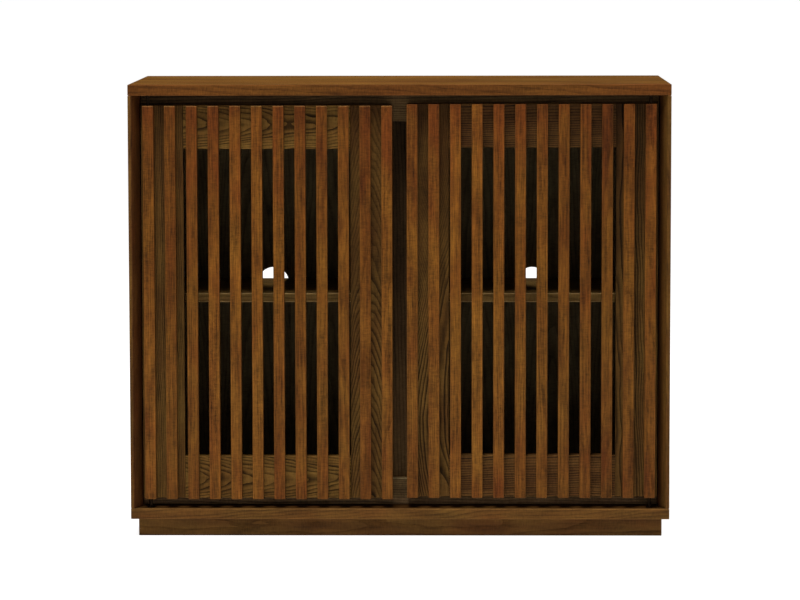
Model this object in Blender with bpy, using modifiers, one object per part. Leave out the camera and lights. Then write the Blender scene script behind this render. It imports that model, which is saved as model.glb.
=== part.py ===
"""Sideboard with two slatted doors between splayed side panels.

A carcass of boards stands on a recessed plinth. Each door is a mortised frame that carries a row of
upright slats, and turns on two pivot pins in the ends of its outermost slat.

Units are metres. +Z is up, +X runs along the sideboard and the doors face -Y. The origin is on the
floor, under the middle of the case.
"""

import math

import bmesh
import bpy
from mathutils import Vector

# Case
WIDTH = 0.900
DEPTH = 0.400
HEIGHT = 0.756
TOP_THICKNESS = 0.018
BASE_THICKNESS = 0.018
SIDE_THICKNESS = 0.018
SIDE_LIP = 0.006            # what is left of the side's thickness at its front edge
SPLAY_DEPTH = 0.025         # how far back the splay of the side's inner face runs
PARTITION_THICKNESS = 0.025
BOARD_EASE = 0.0010         # rounding of the boards' edges

# Plinth
PLINTH_HEIGHT = 0.030
PLINTH_THICKNESS = 0.018
PLINTH_FRONT_INSET = 0.015
PLINTH_SIDE_INSET = 0.012
PLINTH_BACK_INSET = 0.015

# Rails behind the doors
HEADER_HEIGHT = 0.045
SILL_HEIGHT = 0.045
RAIL_THICKNESS = 0.018

# Back panel, held in grooves
BACK_THICKNESS = 0.006
BACK_INSET = 0.006          # from the case's back face to the panel
GROOVE_DEPTH = 0.006
CABLE_HOLE_RADIUS = 0.027
CABLE_HOLE_SHIFT = 0.006    # from the middle of a bay towards the side panel

# Shelves, housed in the sides and the partition
SHELF_THICKNESS = 0.015
SHELF_RISE = 0.3365         # from the base board to the shelf's underside
SHELF_SETBACK = 0.105       # from the case's front to the shelf's front
HOUSING_DEPTH = 0.005

# Doors
DOOR_SETBACK = 0.005        # from the case's front to the slats
DOOR_SIDE_GAP = 0.002
DOOR_CENTRE_GAP = 0.024
DOOR_TOP_REVEAL = 0.016
DOOR_BOTTOM_REVEAL = 0.016
DOOR_REST_GAP = 0.004       # between a closed door and the rails behind it
HANG_LEFT = -0.0012         # how far each door hangs above its drawn height
HANG_RIGHT = 0.0012
FRAME_THICKNESS = 0.020
STILE_WIDTH = 0.070
BOTTOM_RAIL_WIDTH = 0.070
TOP_RAIL_WIDTH = 0.0725
FRAME_EASE = 0.0006
TENON_LENGTH = 0.030
TENON_THICKNESS = 0.008
TENON_SHOULDER = 0.010      # step from the rail's edge to the tenon's edge

# Slats
SLAT_COUNT = 12
SLAT_WIDTH = 0.018
SLAT_DEPTH = 0.018
SLAT_LEDGE = 0.004          # stile that shows beyond the outermost slat
SLAT_EASE = 0.0010

# Pivots
PIN_RADIUS = 0.0025
PIN_DEPTH = 0.012           # into the slat's end grain
PIN_CHAMFER = 0.0004
JOURNAL_DEPTH = 0.009       # into the bush
COLLAR_RADIUS = 0.0032
COLLAR_THICKNESS = 0.0012   # of the upper pin's collar
BUSH_WALL = 0.0014
BUSH_LENGTH = 0.012
FLANGE_RADIUS = 0.0060
FLANGE_THICKNESS = 0.0010

# Door bumpers
BUMPER_RADIUS = 0.005
BUMPER_ROUNDING = 0.0008
BUMPER_INSET = 0.028        # from the door's free edge

# Fit and fineness
FIT = 0.0003                # gap between pieces that touch
OVERCUT = 0.010             # how far a cutter runs out of the wood
ROUND_STEPS = 24
HOLE_STEPS = 40
EASE_SEGMENTS = 2
EASE_ANGLE = math.radians(30)

# Places that follow from the sizes
FRONT = -DEPTH / 2
BACK = DEPTH / 2
OUTER_X = WIDTH / 2
INNER_X = OUTER_X - SIDE_THICKNESS
BASE_BOTTOM = PLINTH_HEIGHT
BASE_TOP = BASE_BOTTOM + BASE_THICKNESS
TOP_UNDERSIDE = HEIGHT - TOP_THICKNESS
SLAT_FRONT = FRONT + DOOR_SETBACK
FRAME_FRONT = SLAT_FRONT + SLAT_DEPTH
FRAME_BACK = FRAME_FRONT + FRAME_THICKNESS
RAIL_FRONT = FRAME_BACK + DOOR_REST_GAP
RAIL_BACK = RAIL_FRONT + RAIL_THICKNESS
PANEL_BACK = BACK - BACK_INSET
PANEL_FRONT = PANEL_BACK - BACK_THICKNESS
SHELF_BOTTOM = BASE_TOP + SHELF_RISE
SHELF_TOP = SHELF_BOTTOM + SHELF_THICKNESS
SHELF_FRONT = FRONT + SHELF_SETBACK
PARTITION_X = PARTITION_THICKNESS / 2
CABLE_HOLE_X = (INNER_X + PARTITION_X) / 2 + CABLE_HOLE_SHIFT
CABLE_HOLE_Z = (SHELF_BOTTOM + SHELF_TOP) / 2
DOOR_FREE_X = DOOR_CENTRE_GAP / 2
DOOR_HUNG_X = INNER_X - DOOR_SIDE_GAP
DOOR_BOTTOM = BASE_TOP + DOOR_BOTTOM_REVEAL
DOOR_TOP = TOP_UNDERSIDE - DOOR_TOP_REVEAL
SLAT_PITCH = (DOOR_HUNG_X - DOOR_FREE_X - SLAT_LEDGE - SLAT_WIDTH) / (SLAT_COUNT - 1)
PIVOT_X = DOOR_HUNG_X - SLAT_LEDGE - SLAT_WIDTH / 2
PIVOT_Y = SLAT_FRONT + SLAT_DEPTH / 2
BUSH_RADIUS = PIN_RADIUS + FIT + BUSH_WALL


def clear_scene():
    """Remove every object, so that the script can run twice."""
    for item in list(bpy.data.objects):
        bpy.data.objects.remove(item, do_unlink=True)


def add_collection(name):
    """Return a new collection in the scene."""
    collection = bpy.data.collections.new(name)
    bpy.context.scene.collection.children.link(collection)
    return collection


def finish(name, colour, roughness, metallic=0.0):
    """Return a function that gives each piece its own material of one kind."""

    def make(piece):
        material = bpy.data.materials.new(f"{name}_{piece}")
        material.use_nodes = True
        shader = material.node_tree.nodes["Principled BSDF"]
        shader.inputs["Base Color"].default_value = (*colour, 1.0)
        shader.inputs["Roughness"].default_value = roughness
        shader.inputs["Metallic"].default_value = metallic
        return material

    return make


CASE_WOOD = finish("case_wood", (0.110, 0.052, 0.016), 0.45)
SLAT_WOOD = finish("slat_wood", (0.140, 0.052, 0.012), 0.42)
FRAME_WOOD = finish("frame_wood", (0.062, 0.032, 0.010), 0.50)
INNER_WOOD = finish("inner_wood", (0.034, 0.019, 0.009), 0.60)
BRONZE = finish("bronze", (0.050, 0.036, 0.024), 0.40, 0.9)
RUBBER = finish("rubber", (0.020, 0.020, 0.020), 0.80)

clear_scene()
PARTS = add_collection("sideboard")
CUTTERS = add_collection("sideboard_cutters")


def place(name, mesh, collection, location):
    """Put a mesh in the scene as an object."""
    item = bpy.data.objects.new(name, mesh)
    item.location = location
    collection.objects.link(item)
    return item


def box_mesh(name, size):
    """Return a box of the given size round its own origin."""
    bm = bmesh.new()
    bmesh.ops.create_cube(bm, size=1.0)
    bmesh.ops.scale(bm, vec=size, verts=bm.verts)
    mesh = bpy.data.meshes.new(name)
    bm.to_mesh(mesh)
    bm.free()
    return mesh


def middle(low, high):
    """Return the middle of a box and its size."""
    low, high = Vector(low), Vector(high)
    return (low + high) / 2, high - low


def ease(item, width, method="ANGLE"):
    """Round the edges of a wooden piece."""
    bevel = item.modifiers.new("eased_edges", "BEVEL")
    bevel.width = width
    bevel.segments = EASE_SEGMENTS
    bevel.limit_method = method
    bevel.angle_limit = EASE_ANGLE


def board(name, low, high, wood, rounding=BOARD_EASE):
    """Make a board between two corners."""
    centre, size = middle(low, high)
    item = place(name, box_mesh(name, size), PARTS, centre)
    item.data.materials.append(wood(name))
    if rounding:
        ease(item, rounding)
    return item


def cut(item, cutter):
    """Cut a piece with a guide solid that isn't rendered."""
    cutter.hide_render = True
    cutter.display_type = "WIRE"
    boolean = item.modifiers.new(cutter.name, "BOOLEAN")
    boolean.operation = "DIFFERENCE"
    boolean.solver = "EXACT"
    boolean.object = cutter


def box_cutter(name, low, high):
    """Return a box that cuts a groove, a housing or a mortise."""
    centre, size = middle(low, high)
    return place(name, box_mesh(name, size), CUTTERS, centre)


def round_cutter(name, centre, radius, length, axis, steps):
    """Return a cylinder along Y or Z that drills a hole."""
    bm = bmesh.new()
    bmesh.ops.create_cone(bm, cap_ends=True, segments=steps, radius1=radius, radius2=radius, depth=length)
    mesh = bpy.data.meshes.new(name)
    bm.to_mesh(mesh)
    bm.free()
    cutter = place(name, mesh, CUTTERS, centre)
    if axis == "Y":
        cutter.rotation_euler.x = math.pi / 2
    return cutter


def turned(name, profile, location, look, ring=False):
    """Turn a profile of (radius, height) points round the Z axis.

    The points run down the outside, from the top to the bottom. A ring is open along its axis.
    """
    bm = bmesh.new()
    verts = [bm.verts.new((radius, 0.0, height)) for radius, height in profile]
    pairs = list(zip(verts, verts[1:]))
    if ring:
        pairs.append((verts[-1], verts[0]))
    for pair in pairs:
        bm.edges.new(pair)
    mesh = bpy.data.meshes.new(name)
    bm.to_mesh(mesh)
    bm.free()
    item = place(name, mesh, PARTS, location)
    item.data.materials.append(look(name))
    screw = item.modifiers.new("turned", "SCREW")
    screw.axis = "Z"
    screw.steps = ROUND_STEPS
    screw.render_steps = ROUND_STEPS
    screw.use_smooth_shade = True
    screw.use_merge_vertices = True
    screw.merge_threshold = 0.00001
    return item


def side_panel(name, side):
    """Make a side panel, whose inner face splays out to a thin lip at the front.

    side is 1 for the right-hand panel and -1 for the left-hand one.
    """
    low = (min(side * INNER_X, side * OUTER_X), FRONT, BASE_TOP + FIT)
    high = (max(side * INNER_X, side * OUTER_X), BACK, TOP_UNDERSIDE - FIT)
    centre, size = middle(low, high)
    bm = bmesh.new()
    bmesh.ops.create_cube(bm, size=1.0)
    bmesh.ops.scale(bm, vec=size, verts=bm.verts)
    every = bm.verts[:] + bm.edges[:] + bm.faces[:]
    splay_start = Vector((0.0, FRONT + SPLAY_DEPTH - centre.y, 0.0))
    bmesh.ops.bisect_plane(bm, geom=every, plane_co=splay_start, plane_no=(0.0, 1.0, 0.0))
    front_edge = [v for v in bm.verts if v.co.y < (SPLAY_DEPTH - size.y) / 2 and v.co.x * side < 0]
    bmesh.ops.translate(bm, verts=front_edge, vec=(side * (SIDE_THICKNESS - SIDE_LIP), 0.0, 0.0))
    mesh = bpy.data.meshes.new(name)
    bm.to_mesh(mesh)
    bm.free()
    panel = place(name, mesh, PARTS, centre)
    panel.data.materials.append(CASE_WOOD(name))
    ease(panel, BOARD_EASE)
    return panel


def back_groove(name, low, high):
    """Return the cutter of one groove that holds an edge of the back panel."""
    low = (low[0], PANEL_FRONT - FIT, low[1])
    high = (high[0], PANEL_BACK + FIT, high[1])
    return box_cutter(name, low, high)


def shelf_housing(name, near_x, far_x):
    """Return the cutter of a stopped housing for a shelf's end."""
    low = (min(near_x, far_x), SHELF_FRONT - FIT, SHELF_BOTTOM - FIT)
    high = (max(near_x, far_x), PANEL_FRONT, SHELF_TOP + FIT)
    return box_cutter(name, low, high)


def build_case():
    """Make the boards of the case, with the grooves and housings that join them."""
    bottom = board("base_board", (-OUTER_X, FRONT, BASE_BOTTOM), (OUTER_X, BACK, BASE_TOP), CASE_WOOD)
    top = board("top_board", (-OUTER_X, FRONT, TOP_UNDERSIDE), (OUTER_X, BACK, HEIGHT), CASE_WOOD)
    groove_x = INNER_X + GROOVE_DEPTH
    cut(bottom, back_groove("groove_base", (-groove_x, BASE_TOP - GROOVE_DEPTH), (groove_x, BASE_TOP + OVERCUT)))
    cut(top, back_groove("groove_top", (-groove_x, TOP_UNDERSIDE - OVERCUT), (groove_x, TOP_UNDERSIDE + GROOVE_DEPTH)))

    partition = board(
        "partition",
        (-PARTITION_X, RAIL_BACK + FIT, BASE_TOP + FIT),
        (PARTITION_X, PANEL_FRONT - FIT, TOP_UNDERSIDE - FIT),
        INNER_WOOD,
    )
    for side, word in ((-1, "left"), (1, "right")):
        panel = side_panel(f"side_{word}", side)
        near, far = sorted((side * (INNER_X - OVERCUT), side * groove_x))
        groove = back_groove(f"groove_{word}", (near, BASE_TOP - OVERCUT), (far, TOP_UNDERSIDE + OVERCUT))
        cut(panel, groove)
        cut(panel, shelf_housing(f"housing_side_{word}", side * (INNER_X - OVERCUT), side * (INNER_X + HOUSING_DEPTH)))
        housing_x = PARTITION_X - HOUSING_DEPTH
        cut(partition, shelf_housing(f"housing_partition_{word}", side * housing_x, side * (PARTITION_X + OVERCUT)))
        shelf_ends = sorted((side * (housing_x + FIT), side * (INNER_X + HOUSING_DEPTH - FIT)))
        board(
            f"shelf_{word}",
            (shelf_ends[0], SHELF_FRONT, SHELF_BOTTOM),
            (shelf_ends[1], PANEL_FRONT - FIT, SHELF_TOP),
            INNER_WOOD,
        )
    build_rails()
    build_back()
    return bottom, top


def build_rails():
    """Make the header and the sill rail, which show round the closed doors."""
    rail_end = INNER_X - FIT
    board(
        "header_rail",
        (-rail_end, RAIL_FRONT, TOP_UNDERSIDE - HEADER_HEIGHT),
        (rail_end, RAIL_BACK, TOP_UNDERSIDE - FIT),
        INNER_WOOD,
    )
    board(
        "sill_rail",
        (-rail_end, RAIL_FRONT, BASE_TOP + FIT),
        (rail_end, RAIL_BACK, BASE_TOP + SILL_HEIGHT),
        INNER_WOOD,
    )


def build_back():
    """Make the back panel with a cable hole behind the middle of each shelf."""
    edge_x = INNER_X + GROOVE_DEPTH - FIT
    panel = board(
        "back_panel",
        (-edge_x, PANEL_FRONT, BASE_TOP - GROOVE_DEPTH + FIT),
        (edge_x, PANEL_BACK, TOP_UNDERSIDE + GROOVE_DEPTH - FIT),
        INNER_WOOD,
        rounding=0.0,
    )
    length = BACK_THICKNESS + 2 * OVERCUT
    for side, word in ((-1, "left"), (1, "right")):
        centre = (side * CABLE_HOLE_X, (PANEL_FRONT + PANEL_BACK) / 2, CABLE_HOLE_Z)
        cut(panel, round_cutter(f"cable_hole_{word}", centre, CABLE_HOLE_RADIUS, length, "Y", HOLE_STEPS))


def build_plinth():
    """Make the plinth, with its sides between its front and its back board."""
    end_x = OUTER_X - PLINTH_SIDE_INSET
    front = FRONT + PLINTH_FRONT_INSET
    back = BACK - PLINTH_BACK_INSET
    top = BASE_BOTTOM - FIT
    board("plinth_front", (-end_x, front, 0.0), (end_x, front + PLINTH_THICKNESS, top), CASE_WOOD)
    board("plinth_back", (-end_x, back - PLINTH_THICKNESS, 0.0), (end_x, back, top), CASE_WOOD)
    for side, word in ((-1, "left"), (1, "right")):
        near, far = sorted((side * (end_x - PLINTH_THICKNESS), side * end_x))
        low = (near, front + PLINTH_THICKNESS + FIT, 0.0)
        high = (far, back - PLINTH_THICKNESS - FIT, top)
        board(f"plinth_{word}", low, high, CASE_WOOD)


def tenoned_rail(name, low, high):
    """Make a door rail with a tenon on each end. The box given is the rail between its shoulders."""
    centre, size = middle(low, high)
    bm = bmesh.new()
    bmesh.ops.create_cube(bm, size=1.0)
    bmesh.ops.scale(bm, vec=size, verts=bm.verts)
    weight = bm.edges.layers.float.new("bevel_weight_edge")
    long_edges = [e for e in bm.edges if abs(e.verts[0].co.x - e.verts[1].co.x) > size.x / 2]
    tenon_share = (1.0, TENON_THICKNESS / size.y, (size.z - 2 * TENON_SHOULDER) / size.z)
    for direction in (-1, 1):
        shoulder = max(bm.faces, key=lambda face: face.calc_center_median().x * direction)
        root = bmesh.ops.extrude_discrete_faces(bm, faces=[shoulder])["faces"][0]
        bmesh.ops.scale(bm, vec=tenon_share, verts=root.verts)
        tip = bmesh.ops.extrude_discrete_faces(bm, faces=[root])["faces"][0]
        bmesh.ops.translate(bm, verts=tip.verts, vec=(direction * TENON_LENGTH, 0.0, 0.0))
    for edge in bm.edges:
        edge[weight] = 0.0
    for edge in long_edges:
        edge[weight] = 1.0
    mesh = bpy.data.meshes.new(name)
    bm.to_mesh(mesh)
    bm.free()
    rail = place(name, mesh, PARTS, centre)
    rail.data.materials.append(FRAME_WOOD(name))
    ease(rail, FRAME_EASE, "WEIGHT")
    return rail


def mortise(name, side, stile_edge, rail_low, rail_high):
    """Return the cutter of the blind mortise that takes one tenon.

    side is 1 where the wood of the stile lies towards +X from stile_edge, and -1 where it lies towards -X.
    """
    centre_y = (FRAME_FRONT + FRAME_BACK) / 2
    reach = (stile_edge - side * OVERCUT, stile_edge + side * (TENON_LENGTH + FIT))
    low = (min(reach), centre_y - TENON_THICKNESS / 2 - FIT, rail_low + TENON_SHOULDER - FIT)
    high = (max(reach), centre_y + TENON_THICKNESS / 2 + FIT, rail_high - TENON_SHOULDER + FIT)
    return box_cutter(name, low, high)


def build_door_frame(word, side):
    """Make two stiles and two tenoned rails. Returns the four pieces."""
    rails = {
        "bottom": (DOOR_BOTTOM, DOOR_BOTTOM + BOTTOM_RAIL_WIDTH),
        "top": (DOOR_TOP - TOP_RAIL_WIDTH, DOOR_TOP),
    }
    window = (DOOR_FREE_X + STILE_WIDTH, DOOR_HUNG_X - STILE_WIDTH)
    pieces = []
    for place_word, edge, far, wood_side in (
        ("inner", window[0], DOOR_FREE_X, -side),
        ("outer", window[1], DOOR_HUNG_X, side),
    ):
        near, end = sorted((side * edge, side * far))
        name = f"door_{word}_stile_{place_word}"
        stile = board(name, (near, FRAME_FRONT, DOOR_BOTTOM), (end, FRAME_BACK, DOOR_TOP), FRAME_WOOD, FRAME_EASE)
        for rail_word, (low, high) in rails.items():
            cut(stile, mortise(f"mortise_{word}_{place_word}_{rail_word}", wood_side, side * edge, low, high))
        pieces.append(stile)
    near, end = sorted((side * (window[0] + FIT), side * (window[1] - FIT)))
    for rail_word, (low, high) in rails.items():
        name = f"door_{word}_rail_{rail_word}"
        pieces.append(tenoned_rail(name, (near, FRAME_FRONT, low), (end, FRAME_BACK, high)))
    return pieces


def build_slats(word, side):
    """Make one door's slats, numbered from the free edge. The last one holds the pivot pins."""
    pieces = []
    for index in range(SLAT_COUNT):
        start = DOOR_FREE_X + index * SLAT_PITCH
        near, far = sorted((side * start, side * (start + SLAT_WIDTH)))
        low = (near, SLAT_FRONT, DOOR_BOTTOM)
        high = (far, FRAME_FRONT - FIT, DOOR_TOP)
        pieces.append(board(f"door_{word}_slat_{index + 1:02d}", low, high, SLAT_WOOD, SLAT_EASE))
    hung = pieces[-1]
    for end_word, end in (("bottom", DOOR_BOTTOM), ("top", DOOR_TOP)):
        centre = (side * PIVOT_X, PIVOT_Y, end)
        bore = round_cutter(
            f"pin_bore_{word}_{end_word}", centre, PIN_RADIUS + FIT, 2 * (PIN_DEPTH + FIT), "Z", ROUND_STEPS
        )
        cut(hung, bore)
    return pieces


def pin_profile(collar, journal):
    """Return the profile of a pivot pin that hangs below a slat's end, which is at height 0.

    collar is the height of the collar under the slat, and journal is the length below the collar.
    """
    collar_bottom = -FIT - collar
    tip = collar_bottom - journal
    return [
        (0.0, PIN_DEPTH),
        (PIN_RADIUS - PIN_CHAMFER, PIN_DEPTH),
        (PIN_RADIUS, PIN_DEPTH - PIN_CHAMFER),
        (PIN_RADIUS, -FIT),
        (COLLAR_RADIUS, -FIT),
        (COLLAR_RADIUS, collar_bottom),
        (PIN_RADIUS, collar_bottom),
        (PIN_RADIUS, tip + PIN_CHAMFER),
        (PIN_RADIUS - PIN_CHAMFER, tip),
        (0.0, tip),
    ]


def bush_profile():
    """Return the profile of a flanged bush let into a board whose face is at height 0."""
    bore = PIN_RADIUS + FIT
    flange_top = FIT + FLANGE_THICKNESS
    return [
        (bore, flange_top),
        (FLANGE_RADIUS, flange_top),
        (FLANGE_RADIUS, FIT),
        (BUSH_RADIUS, FIT),
        (BUSH_RADIUS, -BUSH_LENGTH),
        (bore, -BUSH_LENGTH),
    ]


def upended(profile):
    """Turn a profile upside down, still listed from the top to the bottom."""
    return [(radius, -height) for radius, height in reversed(profile)]


def build_pins(word, side, hang):
    """Make the two pins of one door. The lower one's collar carries the door at its height."""
    x = side * PIVOT_X
    flange = FIT + FLANGE_THICKNESS
    lower_collar = DOOR_BOTTOM_REVEAL + hang - flange - 2 * FIT
    lower = pin_profile(lower_collar, FIT + flange + JOURNAL_DEPTH)
    upper_journal = DOOR_TOP_REVEAL - hang - FIT - COLLAR_THICKNESS + JOURNAL_DEPTH
    upper = upended(pin_profile(COLLAR_THICKNESS, upper_journal))
    return [
        turned(f"door_{word}_pin_bottom", lower, (x, PIVOT_Y, DOOR_BOTTOM), BRONZE),
        turned(f"door_{word}_pin_top", upper, (x, PIVOT_Y, DOOR_TOP), BRONZE),
    ]


def build_bushes(word, side, bottom, top):
    """Let a flanged bush into the base board and into the top board, on the door's axis."""
    x = side * PIVOT_X
    bore = (BUSH_RADIUS + FIT, 2 * (BUSH_LENGTH + FIT))
    for end_word, height, plate, profile in (
        ("bottom", BASE_TOP, bottom, bush_profile()),
        ("top", TOP_UNDERSIDE, top, upended(bush_profile())),
    ):
        spot = (x, PIVOT_Y, height)
        turned(f"bush_{word}_{end_word}", profile, spot, BRONZE, ring=True)
        cut(plate, round_cutter(f"bush_bore_{word}_{end_word}", spot, *bore, "Z", ROUND_STEPS))


def build_bumpers(word, side):
    """Make the two rubber pads that a closed door rests on."""
    thickness = DOOR_REST_GAP - 2 * FIT
    profile = [
        (0.0, thickness),
        (BUMPER_RADIUS - BUMPER_ROUNDING, thickness),
        (BUMPER_RADIUS, thickness - BUMPER_ROUNDING),
        (BUMPER_RADIUS, 0.0),
        (0.0, 0.0),
    ]
    heights = {
        "bottom": (DOOR_BOTTOM + BASE_TOP + SILL_HEIGHT) / 2,
        "top": (DOOR_TOP + TOP_UNDERSIDE - HEADER_HEIGHT) / 2,
    }
    for end_word, height in heights.items():
        spot = (side * (DOOR_FREE_X + BUMPER_INSET), RAIL_FRONT - FIT, height)
        pad = turned(f"bumper_{word}_{end_word}", profile, spot, RUBBER)
        pad.rotation_euler.x = math.pi / 2


def hang_door(word, side, hang, pieces):
    """Parent a door's pieces, and the cutters that shape them, to an empty on its pivot axis."""
    pivot = bpy.data.objects.new(f"door_{word}_pivot", None)
    pivot.empty_display_size = STILE_WIDTH
    drawn_place = Vector((side * PIVOT_X, PIVOT_Y, DOOR_BOTTOM))
    pivot.location = drawn_place + Vector((0.0, 0.0, hang))
    PARTS.objects.link(pivot)
    for piece in pieces:
        cutters = [modifier.object for modifier in piece.modifiers if modifier.type == "BOOLEAN"]
        for item in [piece, *cutters]:
            item.parent = pivot
            item.location -= drawn_place


def build_sideboard():
    """Make the whole sideboard."""
    bottom, top = build_case()
    build_plinth()
    for word, side, hang in (("left", -1, HANG_LEFT), ("right", 1, HANG_RIGHT)):
        build_bushes(word, side, bottom, top)
        build_bumpers(word, side)
        pieces = build_door_frame(word, side) + build_slats(word, side) + build_pins(word, side, hang)
        hang_door(word, side, hang, pieces)


build_sideboard()
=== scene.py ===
"""Dresses the slatted sideboard: stained wood, hardware, fixing screws, studio and camera.

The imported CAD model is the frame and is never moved. Every board gets wood of its own cut from one
kind of growth-ring timber, so that two neighbouring boards never share their grain. New pieces are
the screws that hold the slats and the back panel. Units are metres: +Z is up, the doors face -Y.
"""

import logging
import math
from dataclasses import dataclass, field
from enum import Enum
from typing import Dict, List, Mapping, Optional, Sequence, Tuple, Union

import bmesh
import bpy
from mathutils import Euler, Matrix, Vector

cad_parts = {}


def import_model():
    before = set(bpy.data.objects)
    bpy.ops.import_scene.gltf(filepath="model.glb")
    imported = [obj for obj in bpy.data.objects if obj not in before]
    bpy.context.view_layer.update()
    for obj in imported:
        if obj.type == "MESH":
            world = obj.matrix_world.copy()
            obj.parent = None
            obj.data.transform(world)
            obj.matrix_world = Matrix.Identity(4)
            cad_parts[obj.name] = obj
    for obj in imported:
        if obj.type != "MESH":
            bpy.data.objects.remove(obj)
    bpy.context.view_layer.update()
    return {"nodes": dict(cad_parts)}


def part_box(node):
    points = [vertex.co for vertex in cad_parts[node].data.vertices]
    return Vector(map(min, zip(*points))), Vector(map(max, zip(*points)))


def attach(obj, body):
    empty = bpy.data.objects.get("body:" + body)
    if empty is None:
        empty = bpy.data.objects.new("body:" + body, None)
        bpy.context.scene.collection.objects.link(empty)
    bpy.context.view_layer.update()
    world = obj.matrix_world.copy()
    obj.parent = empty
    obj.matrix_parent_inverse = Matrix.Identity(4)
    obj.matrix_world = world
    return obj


LOG = logging.getLogger("sideboard")

MIDDLE = 0.5

Triple = Tuple[float, float, float]
Pair = Tuple[float, float]
Noise = Tuple[float, float, float, float]
Socket = bpy.types.NodeSocket
Sockets = bpy.types.bpy_prop_collection
Feed = Union[Socket, float, Sequence[float]]
Feeds = Mapping[Union[int, str], Feed]
Results = Dict[str, Socket]


class Grain(Enum):
    """The way a board's fibres run, as the turn that brings that way upright."""

    UPRIGHT = (0.0, 0.0, 0.0)
    SIDEWAYS = (0.0, -math.pi / 2, 0.0)
    FRONT_TO_BACK = (math.pi / 2, 0.0, 0.0)


class Side(Enum):
    """The two halves of the sideboard."""

    LEFT = "left"
    RIGHT = "right"


class Face(Enum):
    """A face of a board's box, as the way that it looks."""

    FRONT = (0.0, -1.0, 0.0)
    BACK = (0.0, 1.0, 0.0)
    LEFT = (-1.0, 0.0, 0.0)
    RIGHT = (1.0, 0.0, 0.0)
    TOP = (0.0, 0.0, 1.0)
    BOTTOM = (0.0, 0.0, -1.0)


@dataclass(frozen=True)
class EdgeStainAndPaintedLight:
    """More or less stain, painted shade or painted light near one face of a board, or near the arris where
    two faces meet.
    """

    face: Face
    full: float  # How far in from the face it is at full strength.
    gone: float  # How far in it has faded out.
    tint: Triple  # What it multiplies the board's colour by.
    also: Optional[Face] = None  # The arris's other face, for one along an arris.


@dataclass(frozen=True)
class Cut:
    """How a board was sawn from the log."""

    grain: Grain  # The way its fibres run.
    heart: Pair  # The board's middle, seen from the heart of the log, across the grain.
    taper: float  # How fast the rings widen along the grain, which draws the cathedral arches.
    seed: float  # Number that sets this board apart from the others.
    shade: float = 1.0  # How light this board is, 1 for the finish's own tone; on some boards this is painted shade.
    lean: float = 0.0  # How much redder than the finish's own tone it is.
    bow: float = 0.0  # How far the grain sweeps to and fro across the board's face.
    fade: float = 0.0  # How much fainter its figure gets towards its upper end, as painted shade.
    leaf_way: Optional[Triple] = None  # The way across its veneer's leaves, if it has any.


class ShaderBench:
    """Adds and joins nodes in one node tree."""

    def __init__(self, tree: bpy.types.NodeTree) -> None:
        """Keep the tree that is worked on."""
        self.tree = tree

    def feed(self, node: bpy.types.Node, feeds: Feeds) -> None:
        """Link inputs of a node to outputs, or set their values.

        Args:
            node: The node.
            feeds: An output or a plain value for each input, by its name or number.
        """
        for name, value in feeds.items():
            socket = node.inputs[name]
            if isinstance(value, Socket):
                self.tree.links.new(value, socket)
            elif isinstance(value, (int, float)):
                socket.default_value = value
            elif socket.type == "RGBA":
                socket.default_value = (*value, 1.0)
            else:
                socket.default_value = tuple(value)

    def node(self, kind: str, feeds: Feeds, **settings: object) -> Sockets:
        """Add a node.

        Args:
            kind: Blender's name for the node type.
            feeds: What its inputs get, by name or number.
            **settings: Properties set on the node.

        Returns:
            The node's outputs.
        """
        node = self.tree.nodes.new(kind)
        for name, value in settings.items():
            setattr(node, name, value)
        self.feed(node, feeds)
        return node.outputs

    def maths(self, operation: str, *values: Feed, clamp: bool = False) -> Socket:
        """Add a Math node.

        Args:
            operation: The sum it does.
            *values: Its inputs in order.
            clamp: Whether the result stays within 0 and 1.

        Returns:
            The result.
        """
        feeds = dict(enumerate(values))
        return self.node("ShaderNodeMath", feeds, operation=operation, use_clamp=clamp)["Value"]

    def line(self, value: Feed, slope: Feed, start: Feed) -> Socket:
        """Multiply a value by a slope and add its start."""
        return self.maths("MULTIPLY_ADD", value, slope, start)

    def arrows(self, operation: str, *values: Feed, gives: str = "Vector") -> Socket:
        """Add a Vector Math node.

        Args:
            operation: The sum it does.
            *values: Its inputs in order.
            gives: Which of its outputs holds the result.

        Returns:
            The result.
        """
        feeds = dict(enumerate(values))
        return self.node("ShaderNodeVectorMath", feeds, operation=operation)[gives]

    def split(self, arrow: Feed) -> Sockets:
        """Take a vector apart into X, Y and Z."""
        return self.node("ShaderNodeSeparateXYZ", {"Vector": arrow})

    def chance(self, number: Feed) -> Socket:
        """Draw the even chance, from 0 to 1, that belongs to a number."""
        return self.node("ShaderNodeTexWhiteNoise", {"W": number}, noise_dimensions="1D")["Value"]

    def ramp(self, value: Feed, start: Feed, end: Feed) -> Socket:
        """Rise smoothly from 0 to 1 as a value goes from start to end.

        Args:
            value: What is read.
            start: Where the result is 0.
            end: Where the result is 1.

        Returns:
            The smooth step.
        """
        feeds = {"Value": value, "From Min": start, "From Max": end}
        return self.node("ShaderNodeMapRange", feeds, interpolation_type="SMOOTHSTEP")["Result"]

    def cloud(self, place: Feed, noise: Noise) -> Socket:
        """Add soft noise whose grains have a size of their own along each axis.

        Args:
            place: Coordinates in metres.
            noise: Grains in a metre along each axis, and octaves of finer noise on top.

        Returns:
            The noise, around one half.
        """
        *rates, detail = noise
        feeds = {"Vector": self.arrows("MULTIPLY", place, rates), "Scale": 1.0, "Detail": detail}
        return self.node("ShaderNodeTexNoise", feeds, noise_dimensions="3D")["Fac"]

    def blend(self, share: Feed, first: Feed, second: Feed, mode: str = "MIX") -> Socket:
        """Mix two colours.

        Args:
            share: How much of the second is taken.
            first: The colour below.
            second: The colour above.
            mode: Blender's blend type.

        Returns:
            The mixed colour.
        """
        below, above, mixed = 6, 7, 2
        feeds = {"Factor": share, below: first, above: second}
        return self.node("ShaderNodeMix", feeds, data_type="RGBA", blend_type=mode)[mixed]


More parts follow.
